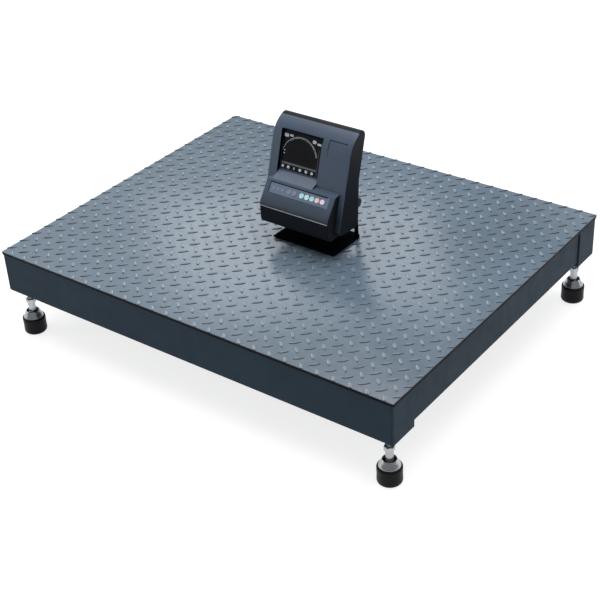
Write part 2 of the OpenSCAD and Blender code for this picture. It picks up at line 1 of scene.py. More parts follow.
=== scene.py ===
"""Looks for the platform scale: chequer-plate deck, channel frame, levelling feet and indicator.
Lengths in the helpers below are millimetres; everything reaches Blender in metres."""

import json
import math
import random

import bmesh
import bpy
import numpy as np
from mathutils import Matrix, Vector


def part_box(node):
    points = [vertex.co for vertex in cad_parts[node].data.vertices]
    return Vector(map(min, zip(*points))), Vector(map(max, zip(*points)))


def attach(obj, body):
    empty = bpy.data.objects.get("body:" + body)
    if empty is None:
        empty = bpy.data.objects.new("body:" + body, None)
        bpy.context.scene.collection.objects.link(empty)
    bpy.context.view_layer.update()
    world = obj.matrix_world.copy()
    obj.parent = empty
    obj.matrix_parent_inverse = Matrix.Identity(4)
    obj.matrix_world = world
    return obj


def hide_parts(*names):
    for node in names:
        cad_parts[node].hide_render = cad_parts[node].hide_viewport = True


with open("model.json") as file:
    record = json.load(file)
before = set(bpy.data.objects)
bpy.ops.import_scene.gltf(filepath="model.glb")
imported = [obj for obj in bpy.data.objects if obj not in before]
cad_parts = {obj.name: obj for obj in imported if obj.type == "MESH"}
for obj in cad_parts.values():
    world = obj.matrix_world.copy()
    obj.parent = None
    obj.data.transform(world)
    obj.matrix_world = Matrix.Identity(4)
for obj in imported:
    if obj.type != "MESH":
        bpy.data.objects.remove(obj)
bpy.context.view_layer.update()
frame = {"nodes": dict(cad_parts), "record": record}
nodes = frame["nodes"]
record = frame["record"]
body_of = {n: b for b, members in record["behaviour"]["bodies"].items() for n in members}
slot_of = {s["node"]: s["material_slot"] for s in record["subparts"]}
MM = 0.001
DECK_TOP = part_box("deck_plate")[1].z
SIDES = ("front_left", "front_right", "rear_left", "rear_right")
FOOT_PARTS = ("stud", "nut", "insert", "cup")
rng = random.Random(7)


# ---------------------------------------------------------------- materials
def srgb(r, g, b):
    def one(c):
        c /= 255
        return c / 12.92 if c <= 0.04045 else ((c + 0.055) / 1.055) ** 2.4
    return (one(r), one(g), one(b), 1)


class Shader:
    """A node material; coordinates are the object's own, in metres."""

    def __init__(self, name, **sockets):
        self.material = bpy.data.materials.new(name)
        self.material.use_nodes = True
        self.tree = self.material.node_tree
        self.bsdf = self.tree.nodes["Principled BSDF"]
        self.coords = self.tree.nodes.new("ShaderNodeTexCoord").outputs["Object"]
        for key, value in sockets.items():
            self.bsdf.inputs[key.replace("_", " ")].default_value = value

    def node(self, kind, inputs=(), **props):
        made = self.tree.nodes.new("ShaderNode" + kind)
        for key, value in props.items():
            setattr(made, key, value)
        for key, value in dict(inputs).items():
            if isinstance(value, bpy.types.NodeSocket):
                self.tree.links.new(value, made.inputs[key])
            else:
                made.inputs[key].default_value = value
        return made

    def stretched(self, x, y, z):
        return self.node("Mapping", {"Vector": self.coords, "Scale": (x, y, z)}).outputs["Vector"]

    def noise(self, scale, detail=3, rough=0.5, coords=None):
        return self.node("TexNoise", {"Vector": coords or self.coords, "Scale": scale,
                                      "Detail": detail, "Roughness": rough}).outputs["Fac"]

    def cells(self, scale):
        return self.node("TexVoronoi", {"Vector": self.coords, "Scale": scale}).outputs["Distance"]

    def height(self):
        return self.node("SeparateXYZ", {0: self.coords}).outputs["Z"]

    def normal(self):
        """The X, Y and Z outputs of the object's own normal."""
        return self.node("SeparateXYZ", {0: self.node("TexCoord").outputs["Normal"]}).outputs

    def maths(self, operation, *values):
        return self.node("Math", dict(enumerate(values)), operation=operation).outputs[0]

    def ramp(self, fac, stops):
        made = self.node("ValToRGB", {"Fac": fac})
        ramp = made.color_ramp
        while len(ramp.elements) < len(stops):
            ramp.elements.new(0.5)
        for element, (at, colour) in zip(ramp.elements, stops):
            element.position = at
            element.color = colour
        return made.outputs["Color"]

    def level(self, value, low, high, out_low=0.0, out_high=1.0):
        return self.node("MapRange", {"Value": value, "From Min": low, "From Max": high,
                                      "To Min": out_low, "To Max": out_high}).outputs["Result"]

    def blend(self, fac, a, b):
        made = self.node("Mix", data_type="RGBA")
        for index, value in ((0, fac), (6, a), (7, b)):
            if isinstance(value, bpy.types.NodeSocket):
                self.tree.links.new(value, made.inputs[index])
            else:
                made.inputs[index].default_value = value
        return made.outputs[2]

    def to(self, socket, value):
        self.tree.links.new(value, self.bsdf.inputs[socket])
        return self

    def bumps(self, *layers):
        """Each layer is (height, strength, distance in metres)."""
        normal = None
        for height, strength, distance in layers:
            inputs = {"Height": height, "Strength": strength, "Distance": distance}
            if normal:
                inputs["Normal"] = normal
            normal = self.node("Bump", inputs).outputs["Normal"]
        return self.to("Normal", normal)


def shade(colour, factor):
    return tuple(min(1, c * factor) for c in colour[:3]) + (1,)


def enamel(name, colour, rough, peel=0.1, dirt=0.08, ior_level=0.5):
    s = Shader(name, Specular_IOR_Level=ior_level)
    broad = s.noise(5, 4, 0.55)
    fine = s.noise(240, 4, 0.6)
    base = s.ramp(broad, [(0.3, shade(colour, 1 - dirt)), (0.7, shade(colour, 1 + dirt))])
    speck = s.level(fine, 0.62, 0.75)
    s.to("Base Color", s.blend(s.maths("MULTIPLY", speck, 0.25), base, shade(colour, 0.72)))
    s.to("Roughness", s.level(s.noise(30, 5, 0.6), 0.25, 0.75, rough - 0.06, rough + 0.08))
    s.bumps((s.noise(330, 3, 0.5), peel, 0.0008), (s.noise(60, 2, 0.5), peel, 0.002))
    return s.material


def tread(name, colour, edge_shade_colour):
    """Gloss enamel over the plate's top, with a painted highlight on its lugs' ends and painted shade on
    their flanks.

    The plate's cut edges get a near-black painted shade and little shine."""
    s = Shader(name, Specular_IOR_Level=0.55)
    broad = s.noise(4, 4, 0.55)
    blotch = s.noise(55, 4, 0.65)
    fine = s.noise(420, 3, 0.6)
    top = s.ramp(broad, [(0.3, shade(colour, 0.92)), (0.7, shade(colour, 1.08))])
    top = s.blend(s.level(blotch, 0.45, 0.75, 0, 0.35), top, shade(colour, 0.62))
    top = s.blend(s.level(fine, 0.5, 0.72, 0, 0.4), top, shade(colour, 1.5))
    normal = s.normal()
    # Painted light: lug faces turned along +X+Y and -X-Y get a painted highlight, those turned towards +X-Y a
    # painted shade.
    ends = s.maths("ABSOLUTE", s.maths("ADD", normal["X"], normal["Y"]))
    shaded_flank = s.maths("SUBTRACT", normal["X"], normal["Y"])
    top = s.blend(s.level(ends, 0.12, 0.4), top, LUG_END_HIGHLIGHT)
    top = s.blend(s.level(shaded_flank, 0.12, 0.4), top, shade(colour, 0.28))
    above_edge = s.level(s.height(), DECK_TOP - 0.0012, DECK_TOP - 0.0004)
    # Below the top, the cut edges take the near-black painted shade.
    s.to("Base Color", s.blend(above_edge, edge_shade_colour, top))
    s.to("Specular IOR Level", s.level(above_edge, 0, 1, 0.05, 0.55))
    gloss = s.level(s.noise(30, 5, 0.6), 0.25, 0.75, 0.17, 0.28)
    s.to("Roughness", s.maths("ADD", s.level(above_edge, 0, 1, 0.3, 0.0), gloss))
    s.bumps((fine, 0.12, 0.0006), (s.noise(90, 3, 0.6), 0.16, 0.0016))
    return s.material


def plated(name, colour, rough, brushed=(1, 1, 1), metallic=1.0):
    s = Shader(name, Metallic=metallic)
    streak = s.noise(160, 5, 0.65, s.stretched(*brushed))
    tone = s.noise(45, 4, 0.6)
    base = s.ramp(tone, [(0.3, shade(colour, 0.82)), (0.7, shade(colour, 1.08))])
    s.to("Base Color", s.blend(s.level(streak, 0.35, 0.7, 0, 0.35), base, shade(colour, 0.7)))
    s.to("Roughness", s.level(streak, 0.25, 0.75, rough - 0.07, rough + 0.1))
    s.bumps((streak, 0.08, 0.0003))
    return s.material


def moulded(name, colour, rough, grain=900, depth=0.25, ior_level=0.5, side=None, painted_fade=None):
    """Textured plastic; side is a colour of painted shade for the faces towards +X and -X.

    fade paints shade that darkens downwards, given as (low, high, factor): the colour's factor at the low
    height, and all of it at the high."""
    s = Shader(name, Specular_IOR_Level=ior_level)
    fine = s.noise(grain, 2, 0.6)
    base = s.ramp(s.noise(14, 3, 0.5), [(0.3, shade(colour, 0.94)), (0.7, shade(colour, 1.06))])
    # Painted shade: the colour darkens downwards.
    if painted_fade:
        low, high, factor = painted_fade
        base = s.blend(s.level(s.height(), low, high), shade(colour, factor), base)
    # Painted shade: the faces towards +X and -X take the side colour and less shine.
    if side:
        side_shade_mask = s.level(s.maths("ABSOLUTE", s.normal()["X"]), 0.8, 0.93)
        base = s.blend(side_shade_mask, base, side)
        s.to("Specular IOR Level", s.level(side_shade_mask, 0, 1, ior_level, 0.1))
    s.to("Base Color", base)
    s.to("Roughness", s.level(s.noise(26, 4, 0.6), 0.25, 0.75, rough - 0.04, rough + 0.06))
    s.bumps((fine, depth, 0.0003), (s.cells(grain * 1.4), depth * 0.4, 0.0002))
    return s.material


def rubbery(name, colour, rough):
    s = Shader(name, Specular_IOR_Level=0.12)
    dusty = s.level(s.noise(70, 5, 0.65), 0.5, 0.8, 0, 0.35)
    s.to("Base Color", s.blend(dusty, colour, srgb(26, 28, 34)))
    s.to("Roughness", s.level(s.noise(120, 4, 0.6), 0.25, 0.75, rough - 0.08, rough + 0.1))
    s.bumps((s.noise(700, 3, 0.6), 0.15, 0.0003))
    return s.material


def circuit(name):
    s = Shader(name, Specular_IOR_Level=0.5)
    tracks = s.node("TexBrick", {"Vector": s.coords, "Scale": 190.0, "Mortar Size": 0.028,
                                 "Color1": srgb(22, 92, 50), "Color2": srgb(18, 80, 44),
                                 "Mortar": srgb(70, 140, 84)}).outputs["Color"]
    s.to("Base Color", s.blend(s.level(s.noise(90, 3), 0.45, 0.6), tracks, srgb(18, 76, 42)))
    s.to("Roughness", s.level(s.noise(200, 3), 0.2, 0.8, 0.25, 0.45))
    s.bumps((s.noise(900, 2), 0.1, 0.0002))
    return s.material


# Painted highlight colour for the ends of the deck's lugs.
LUG_END_HIGHLIGHT = srgb(132, 142, 150)
# Painted shade on the front case, darkening from 124 mm down to 90 mm above the deck.
LEDGE_PAINTED_SHADE = (DECK_TOP + 0.09, DECK_TOP + 0.124, 0.36)
mats = {
    # The deck's cut edges get srgb(9, 13, 18) as painted shade.
    "deck_paint": tread("deck_enamel", srgb(85, 101, 115), srgb(9, 13, 18)),
    # The frame's paint is a darker copy of the deck's: painted shade on the frame's sides.
    "frame_paint": enamel("frame_shaded_enamel", srgb(27, 43, 55), 0.55, 0.14, 0.1, 0.1),
    "cell_nickel": plated("nickel", srgb(196, 196, 190), 0.32, (1, 12, 12)),
    "zinc_steel": plated("zinc_plate", srgb(176, 179, 182), 0.24, (6, 6, 40)),
    "box_steel": plated("box_stainless", srgb(190, 193, 195), 0.3, (1, 14, 14)),
    "circuit_board": circuit("circuit"),
    "black_nylon": moulded("nylon", srgb(28, 29, 31), 0.42, 1100, 0.15),
    "cable_jacket": rubbery("lead_jacket", srgb(24, 24, 26), 0.5),
    "foot_rubber": rubbery("cup_rubber", srgb(7, 9, 13), 0.42),
    "stand_paint": enamel("stand_enamel", srgb(9, 11, 15), 0.5, 0.2, 0.08, 0.0),
    # The front case's side colour and fade are painted shade: near black on its faces towards +X and -X,
    # darker towards the bottom.
    "front_plastic": moulded("front_case", srgb(59, 71, 87), 0.42, 1000, 0.22, 0.35,
                             side=srgb(16, 19, 25), painted_fade=LEDGE_PAINTED_SHADE),
    "rear_plastic": moulded("rear_case", srgb(17, 20, 26), 0.5, 1000, 0.25, 0.12),
    "window_black": moulded("window_glass", srgb(9, 9, 12), 0.08, 300, 0.01),
    "label_film": moulded("key_film", srgb(90, 101, 119), 0.4, 1500, 0.12, 0.35),
    "battery_case": moulded("battery_abs", srgb(52, 55, 60), 0.5, 700, 0.2),
    "key_grey": moulded("key_grey", srgb(112, 118, 136), 0.35, 1300, 0.1),
    "key_cyan": moulded("key_cyan", srgb(160, 206, 216), 0.3, 1300, 0.1),
    "key_teal": moulded("key_teal", srgb(182, 214, 212), 0.3, 1300, 0.1),
    "key_light_cyan": moulded("key_light_cyan", srgb(166, 202, 218), 0.3, 1300, 0.1),
    "key_peach": moulded("key_peach", srgb(216, 192, 180), 0.3, 1300, 0.1),
    "key_pink": moulded("key_pink", srgb(216, 200, 214), 0.3, 1300, 0.1),
}
white_ink = moulded("window_ink", srgb(176, 182, 192), 0.4, 900, 0.05)
grey_ink = moulded("band_ink", srgb(74, 77, 84), 0.4, 900, 0.05)
# Near black: painted shade for the lines along the badge's and the key strip's edges.
shade_line_paint = moulded("shade_outline_paint", srgb(6, 8, 12), 0.5, 900, 0.05, 0.0)
trim_metal = plated("parting_trim", srgb(176, 180, 186), 0.4, (30, 1, 1), 0.6)
# A darker copy of the frame's paint: painted shade under the deck plate's edge.
weld_shaded_paint = enamel("weld_shaded_enamel", srgb(18, 28, 38), 0.5, 0.4, 0.15, 0.15)
# A paler copy of the front case plastic: painted light on the window shelf.
shelf_lit_plastic = moulded("shelf_lit_plastic", srgb(78, 88, 103), 0.4, 1000, 0.2, 0.4)
# Near black: painted shade inside the window's recess.
recess_shade_black = moulded("recess_shade_black", srgb(6, 7, 10), 0.5, 1000, 0.2, 0.0)


# ---------------------------------------------------------------- meshes
def smooth(mesh, angle=32):
    mesh.polygons.foreach_set("use_smooth", [True] * len(mesh.polygons))
    mesh.set_sharp_from_angle(angle=math.radians(angle))


def piece(name, verts, faces, material, body, slot=None, stands_for=(), angle=32, outward=True):
    """A mesh object from points in millimetres, riding on a body."""
    mesh = bpy.data.meshes.new(name)
    mesh.from_pydata([tuple(c * MM for c in v) for v in verts], [], [list(f) for f in faces])
    mesh.validate()
    if outward:
        bm = bmesh.new()
        bm.from_mesh(mesh)
        bmesh.ops.remove_doubles(bm, verts=bm.verts, dist=1e-7)
        bmesh.ops.recalc_face_normals(bm, faces=bm.faces)
        bm.to_mesh(mesh)
        bm.free()
    ob = bpy.data.objects.new(name, mesh)
    bpy.context.scene.collection.objects.link(ob)
    return dress(ob, material, body, stands_for, angle)


def dress(ob, material, body, stands_for=(), angle=32):
    ob.data.materials.clear()
    ob.data.materials.append(material)
    smooth(ob.data, angle)
    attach(ob, body)
    if stands_for:
        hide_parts(*stands_for)
    return ob


def mesh_lists(bm):
    """Points and faces of a bmesh, which is freed."""
    bm.verts.index_update()
    lists = [tuple(v.co) for v in bm.verts], [[v.index for v in f.verts] for f in bm.faces]
    bm.free()
    return lists


def fill_holes(bm):
    bmesh.ops.holes_fill(bm, edges=[e for e in bm.edges if e.is_boundary], sides=0)


def bmesh_of(name, verts, faces):
    mesh = bpy.data.meshes.new(name)
    mesh.from_pydata(verts, [], faces)
    bm = bmesh.new()
    bm.from_mesh(mesh)
    bpy.data.meshes.remove(mesh)
    return bm


def circle(r, n, z):
    return [(r * math.cos(2 * math.pi * k / n), r * math.sin(2 * math.pi * k / n), z) for k in range(n)]


def bands(rows, n, closed=False):
    """Quads between neighbouring rings of n points each; closed joins the last ring to the first."""
    quads = []
    for i in range(rows if closed else rows - 1):
        j = (i + 1) % rows
        for k in range(n):
            m = (k + 1) % n
            quads.append((i * n + k, i * n + m, j * n + m, j * n + k))
    return quads


def rectangle(x, y):
    return [(x[0], y[0]), (x[1], y[0]), (x[1], y[1]), (x[0], y[1])]


class Build:
    """Collects solids, in millimetres, into one mesh."""

    def __init__(self):
        self.verts, self.faces = [], []

    def add(self, verts, faces, matrix=None):
        start = len(self.verts)
        self.verts += [tuple(matrix @ Vector(v)) for v in verts] if matrix else [tuple(v) for v in verts]
        self.faces += [[i + start for i in f] for f in faces]
        return self

    def piece(self, name, material, body, **more):
        return piece(name, self.verts, self.faces, material, body, **more)


def lathe(profile, n=64):
    """A solid of revolution about Z from a closed outline of (radius, z)."""
    verts, rings = [], []
    for r, z in profile:
        if r < 1e-6:
            rings.append([len(verts)])
            verts.append((0, 0, z))
        else:
            rings.append(list(range(len(verts), len(verts) + n)))
            verts += circle(r, n, z)
    faces = []
    for a, b in zip(rings, rings[1:] + rings[:1]):
        for k in range(n):
            m = (k + 1) % n
            if len(a) > 1 and len(b) > 1:
                faces.append((a[k], a[m], b[m], b[k]))
            elif len(a) > 1:
                faces.append((a[k], a[m], b[0]))
            elif len(b) > 1:
                faces.append((a[0], b[m], b[k]))
    return verts, faces


def fillet(points, radii, n=4):
    """A closed outline with its corners rounded."""
    out = []
    count = len(points)
    for i, p in enumerate(points):
        r = radii[i] if isinstance(radii, (list, tuple)) else radii
        a, b = Vector(points[i - 1]), Vector(points[(i + 1) % count])
        p = Vector(p)
        u, v = a - p, b - p
        if r <= 0 or u.length < 1e-6 or v.length < 1e-6:
            out.append(tuple(p))
            continue
        half = u.angle(v) / 2
        d = min(r / math.tan(half), u.length * 0.49, v.length * 0.49)
        s, e = p + u.normalized() * d, p + v.normalized() * d
        for k in range(n + 1):
            t = k / n
            q = s * (1 - t) ** 2 + p * 2 * t * (1 - t) + e * t ** 2
            out.append(tuple(q))
    return out


def prism(outline, levels):
    """Stacks a closed XY outline at the given (z, inset) levels; the inset shrinks towards its middle."""
    cx = sum(p[0] for p in outline) / len(outline)
    cy = sum(p[1] for p in outline) / len(outline)
    verts, n = [], len(outline)
    for z, inset in levels:
        for x, y in outline:
            dx, dy = x - cx, y - cy
            length = math.hypot(dx, dy) or 1
            verts.append((x - dx / length * inset, y - dy / length * inset, z))
    faces = [tuple(range(n))[::-1], tuple(range(len(verts) - n, len(verts)))]
    return verts, faces + bands(len(levels), n)


def rounded_box(x, y, z, r, n=3):
    """A box (lo, hi per axis) with rounded vertical corners and a small round along its top and bottom."""
    outline = fillet(rectangle(x, y), r, 6)
    e = min(r, (z[1] - z[0]) / 2) * 0.5
    steps = [(z[0] + e * (1 - math.sin(math.pi / 2 * k / n)), e * (1 - math.cos(math.pi / 2 * k / n)))
             for k in range(n, -1, -1)]
    tops = [(z[1] - e * (1 - math.sin(math.pi / 2 * k / n)), e * (1 - math.cos(math.pi / 2 * k / n)))
            for k in range(n + 1)]
    return prism(outline, steps + tops)


def arc(c, r, a0, a1, n):
    return [(c[0] + r * math.cos(math.radians(a0 + (a1 - a0) * i / n)),
             c[1] + r * math.sin(math.radians(a0 + (a1 - a0) * i / n))) for i in range(n + 1)]


# ---------------------------------------------------------------- deck
def lug(length, width, height, sink):
    """One raised lens of the chequer pattern, lying along X and closed underneath."""
    across = [-1, -0.78, -0.45, 0, 0.45, 0.78, 1]
    rise = [0, 0.74, 0.97, 1, 0.97, 0.74, 0]
    nu, nv = 10, len(across) - 1
    verts, rows = [], []
    for i in range(nu + 1):
        u = -1 + 2 * i / nu
        half = width / 2 * (1 - abs(u) ** 1.9)
        top = height * (1 - abs(u) ** 4) ** 0.7 + sink
        if i in (0, nu):
            rows.append([len(verts)] * (nv + 1))
            verts.append((u * length / 2, 0, -sink))
            continue
        rows.append(list(range(len(verts), len(verts) + nv + 1)))
        verts += [(u * length / 2, half * v, top * f - sink) for v, f in zip(across, rise)]
    faces = []
    for a, b in zip(rows, rows[1:]):
        for k in range(nv):
            face = [a[k], b[k], b[k + 1], a[k + 1]]
            faces.append([v for j, v in enumerate(face) if v not in face[:j]])
    faces = [f for f in faces if len(f) > 2]
    rim = [rows[0][0]] + [r[-1] for r in rows[1:-1]] + [rows[-1][0]] + [r[0] for r in rows[-2:0:-1]]
    faces.append(rim)
    return np.array(verts), faces


def chequer_deck():
    """The plate with its lugs; those that cross its edge are cut off just inside it."""
    lo, hi = [v * 1000 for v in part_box("deck_plate")]
    pitch, margin, reach = 36.6, 7.3, 8
    first = (lo.x + margin, hi.y - margin)
    verts, faces = lug(25.5, 7.2, 1.9, 0.3)
    whole, cut = Build(), Build()
    for half in (0, 1):
        turn = math.radians(-45 if half else 45)
        c, s = math.cos(turn), math.sin(turn)
        for i in range(-1, 30):
            for j in range(-1, 24):
                x = first[0] + (i + half / 2) * pitch
                y = first[1] - (j + half / 2) * pitch
                if not (lo.x - reach < x < hi.x + reach and lo.y - reach < y < hi.y + reach):
                    continue
                placed = np.stack([verts[:, 0] * c - verts[:, 1] * s + x,
                                   verts[:, 0] * s + verts[:, 1] * c + y,
                                   verts[:, 2] + hi.z], axis=1)
                inside = lo.x + 10.5 < x < hi.x - 10.5 and lo.y + 10.5 < y < hi.y - 10.5
                (whole if inside else cut).add(placed.tolist(), faces)
    bm = bmesh_of("cut_lugs", cut.verts, cut.faces)
    edge = 0.35
    for at, normal in (((lo.x + edge, 0, 0), (-1, 0, 0)), ((hi.x - edge, 0, 0), (1, 0, 0)),
                       ((0, lo.y + edge, 0), (0, -1, 0)), ((0, hi.y - edge, 0), (0, 1, 0))):
        bmesh.ops.bisect_plane(bm, geom=bm.verts[:] + bm.edges[:] + bm.faces[:], plane_co=at,
                               plane_no=normal, clear_outer=True, dist=1e-4)
        fill_holes(bm)
    whole.add(*mesh_lists(bm))
    r = 0.9
    corners = fillet(rectangle((lo.x, hi.x), (lo.y, hi.y)), 2.5, 5)
    levels = [(lo.z, 0.5), (lo.z + 0.4, 0.1), (lo.z + 0.8, 0)]
    levels += [(hi.z - r + r * math.sin(math.radians(a)), r * (1 - math.cos(math.radians(a))))
               for a in (0, 30, 60, 90)]
    whole.add(*prism(corners, levels))
    whole.piece("deck_tread_plate", mats["deck_paint"], "platform", slot="deck_paint",
                stands_for=["deck_plate"], angle=38, outward=False)


def weld_bead():
    """An uneven bead along the joint between the deck plate and the frame's outer faces, in a darker copy of
    the frame's paint: painted shade under the plate's edge.
    """
    lo, hi = [v * 1000 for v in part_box("deck_plate")]
    x, y, z = hi.x - 2.2, hi.y - 2.2, lo.z - 1.3
    path = fillet(rectangle((-x, x), (-y, y)), 3, 6)
    points = []
    for a, b in zip(path, path[1:] + path[:1]):
        steps = max(1, int(math.hypot(b[0] - a[0], b[1] - a[1]) / 3))
        points += [(a[0] + (b[0] - a[0]) * i / steps, a[1] + (b[1] - a[1]) * i / steps)
                   for i in range(steps)]
    n, sides = len(points), 8
    verts, run = [], 0
    for i, p in enumerate(points):
        q, o = Vector(points[(i + 1) % n]), Vector(points[i - 1])
        along = (q - o).normalized()
        out = Vector((along.y, -along.x))
        run += rng.uniform(-0.25, 0.25) - run * 0.25
        ripple = 0.25 * math.sin(i * 1.9) + rng.uniform(-0.15, 0.15)
        size = 2.1 + ripple + run
        for k in range(sides):
            a = 2 * math.pi * k / sides
            verts.append((p[0] + out.x * size * math.cos(a), p[1] + out.y * size * math.cos(a),
                          z + size * math.sin(a) * 0.95 - 0.4))
    Build().add(verts, bands(n, sides, closed=True)).piece(
        "deck_weld_bead", weld_shaded_paint, "platform", slot="frame_paint", angle=70)


# ---------------------------------------------------------------- feet
def thread(z0, z1, r, depth, pitch, n=28):
    """A closed threaded rod: rows of four points a turn, sheared into a helix."""
    on_crest = [False, False, True, True]
    share = [0, 0.12, 0.5, 0.62]
    rows = (int((z1 - z0) / pitch) + 3) * 4
    verts = []
    for j in range(rows):
        turn, step = divmod(j, 4)
        for k in range(n):
            z = z0 - 2 * pitch + (turn + share[step] + k / n) * pitch
            rad = r if on_crest[step] and z0 < z < z1 else r - depth
            angle = 2 * math.pi * k / n
            verts.append((rad * math.cos(angle), rad * math.sin(angle), min(max(z, z0), z1)))
    faces = []
    for j in range(rows - 1):
        for k in range(n - 1):
            faces.append((j * n + k, j * n + k + 1, (j + 1) * n + k + 1, (j + 1) * n + k))
        if j + 5 < rows:
            faces.append((j * n + n - 1, (j + 4) * n, (j + 5) * n, (j + 1) * n + n - 1))
    bm = bmesh_of("thread", verts, faces)
    bmesh.ops.remove_doubles(bm, verts=bm.verts, dist=1e-3)
    bmesh.ops.dissolve_degenerate(bm, dist=1e-3, edges=bm.edges)
    fill_holes(bm)
    return mesh_lists(bm)


def hexagon(across_corners, z0, z1, bore):
    """A hexagonal nut with chamfered ends and a bored hole."""
    n, chamfer, mouth = 60, 1.1, 0.9
    flat = across_corners / 2 * math.cos(math.pi / 6)

    def radius(a, z):
        local = (a + math.pi / 6) % (math.pi / 3) - math.pi / 6
        hexed = flat / math.cos(local)
        cone = flat * 0.97 + min(z - z0, z1 - z) * 1.9
        return min(hexed, cone)

    zs = [z0, z0 + 0.35, z0 + 0.7, z0 + chamfer, (z0 + z1) / 2, z1 - chamfer, z1 - 0.7, z1 - 0.35, z1]
    rings = [[(radius(2 * math.pi * k / n, z), z) for k in range(n)] for z in zs]
    for ring in ((bore + mouth, z1), (bore, z1 - mouth), (bore, z0 + mouth), (bore + mouth, z0)):
        rings.append([ring] * n)
    verts = [(rad * math.cos(2 * math.pi * k / n), rad * math.sin(2 * math.pi * k / n), z)
             for ring in rings for k, (rad, z) in enumerate(ring)]
    return verts, bands(len(rings), n, closed=True)


def feet():
    """Outlines are (radius, height above the floor); the ball's middle is at 30."""
    cup = [(0, 0), (17, 0)] + arc((18, 7), 7, -80, 0, 8) + [(24.6, 20), (24.9, 30)]
    cup += arc((21, 35), 4, 0, 80, 8) + [(20, 39), (19, 38.8), (18.9, 16), (0, 16)]
    insert = [(0, 16), (18.9, 16), (18.9, 38.7), (21.2, 39.1), (21.7, 39.5), (21.5, 40.1), (18.6, 45.2),
              (15.4, 51.0), (14.6, 53.2), (14.0, 53.9), (13.3, 53.9), (12.9, 53.3), (9.9, 35.4), (11.05, 30),
              (10.2, 25.8), (7.8, 22.2), (4.2, 19.8), (0, 18.95)]
    shank = [(0, 19.3), (4.1, 20.1), (7.57, 22.4), (9.9, 25.9), (10.7, 30), (10.2, 33.4), (9.3, 35.3),
             (8, 37.2), (8, 53), (7.6, 53.4), (7.6, 54.6), (8, 55), (8, 60), (7.6, 60.4), (7.6, 61.8),
             (8, 62.2), (8, 73.2), (7.4, 74), (0, 74)]
    nut_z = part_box("front_left_nut")[0].z * 1000
    threads = thread(73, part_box("front_left_stud")[1].z * 1000, 6, 0.95, 1.75)
    for side in SIDES:
        lo, hi = [v * 1000 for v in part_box(side + "_stud")]
        at = Matrix.Translation(((lo.x + hi.x) / 2, (lo.y + hi.y) / 2, 0))
        turn = at @ Matrix.Rotation(math.radians(rng.uniform(0, 60)), 4, "Z")
        foot = (("stud", "zinc_steel", Build().add(*lathe(shank), at).add(*threads, turn)),
                ("nut", "zinc_steel", Build().add(*hexagon(21.8, nut_z, nut_z + 10, 6.1), turn)),
                ("insert", "zinc_steel", Build().add(*lathe(insert), at)),
                ("cup", "foot_rubber", Build().add(*lathe(cup, 72), at)))
        for part, slot, build in foot:
            node = f"{side}_{part}"
            build.piece(f"{side}_foot_{part}", mats[slot], body_of[node], slot=slot, stands_for=[node])


# ---------------------------------------------------------------- indicator
# Millimetres: X across the indicator, Y from front to back, Z up from the deck
INDICATOR_X = 43.0
BODY_HALF, LEDGE_HALF = 99, 87
LEAN = math.radians(17.3)
FACE_FOOT = (-49, 70)
SLOPE = math.radians(143.6)
SLOPE_MIDDLE = (-52.1, 128.3)
PARTING_Z = 92
KEY_HOLE_R = 5.7
PANE = -8
SILL_RUN, SILL_DROP = 50, 18.4
at_indicator = Matrix.Translation((INDICATOR_X, 0, DECK_TOP * 1000))
at_back = at_indicator @ Matrix.Rotation(math.pi / 2, 4, "X")
on_face = at_indicator @ Matrix.Translation((0, *FACE_FOOT)) @ Matrix.Rotation(math.pi / 2 - LEAN, 4, "X")
on_slope = (at_indicator @ Matrix.Translation((0, *SLOPE_MIDDLE))
            @ Matrix.Rotation(SLOPE - math.pi / 2, 4, "X"))
KEY_XS = (-24, -11, 8, 21, 34, 47, 60)
WINDOW_X, WINDOW_Y = (-76, 27), (88, 177)


def body_outline(t):
    """The case's side view (Y, Z), inset by t; the next two are the ledge's and the housing's."""
    k = math.radians(10.5)
    return (arc((-39.8, 66), 10 - t, 162.7, 263.7, 20) + arc((6, 65), 14 - t, 263.7, 355.65, 20)
            + [(27 - t * math.cos(k), 156 + t * math.sin(k))]
            + arc((41.4, 246.3), 12 - t, -16.6, 105.9, 22) + arc((54.5, 200.1), 60 - t, 105.9, 162.7, 26))


def ledge_outline(t):
    return ([(0, 142 - t)] + arc((-40.5, 139), max(3 - t, 0.1), 90, 143.6, 7)
            + arc((-57, 93), 17 - t, 143.6, 180, 12) + arc((-59, 64), 15 - t, 180, 270, 16)
            + [(0, 49 + t)])


def housing_outline(t):
    return [(16, 58 + t), (46, 58 + t), (52 - t, 64), (52 - t, 150), (42, 160 - t), (16, 160 - t)]


def swell(outline, hw, t, r, steps=6):
    """Sweeps an inset outline along X and rounds both ends with radius r."""
    rings = []
    for s in (-1, 1):
        for k in range(steps + 1) if s > 0 else range(steps, -1, -1):
            a = math.pi / 2 * k / steps
            rings.append((s * (hw - t - r + r * math.sin(a)), t + r * (1 - math.cos(a))))
    n = len(outline(0))
    verts = [(x, y, z) for x, inset in rings for y, z in outline(inset)]
    faces = [tuple(range(n)), tuple(range(len(verts) - n, len(verts)))[::-1]]
    return verts, faces + bands(len(rings), n)


def solid(name, verts, faces, matrix=at_indicator):
    mesh = bpy.data.meshes.new(name)
    mesh.from_pydata([tuple(MM * (matrix @ Vector(v))) for v in verts], [], [list(f) for f in faces])
    bm = bmesh.new()
    bm.from_mesh(mesh)
    bmesh.ops.recalc_face_normals(bm, faces=bm.faces)
    bm.to_mesh(mesh)
    bm.free()
    ob = bpy.data.objects.new(name, mesh)
    bpy.context.scene.collection.objects.link(ob)
    return ob


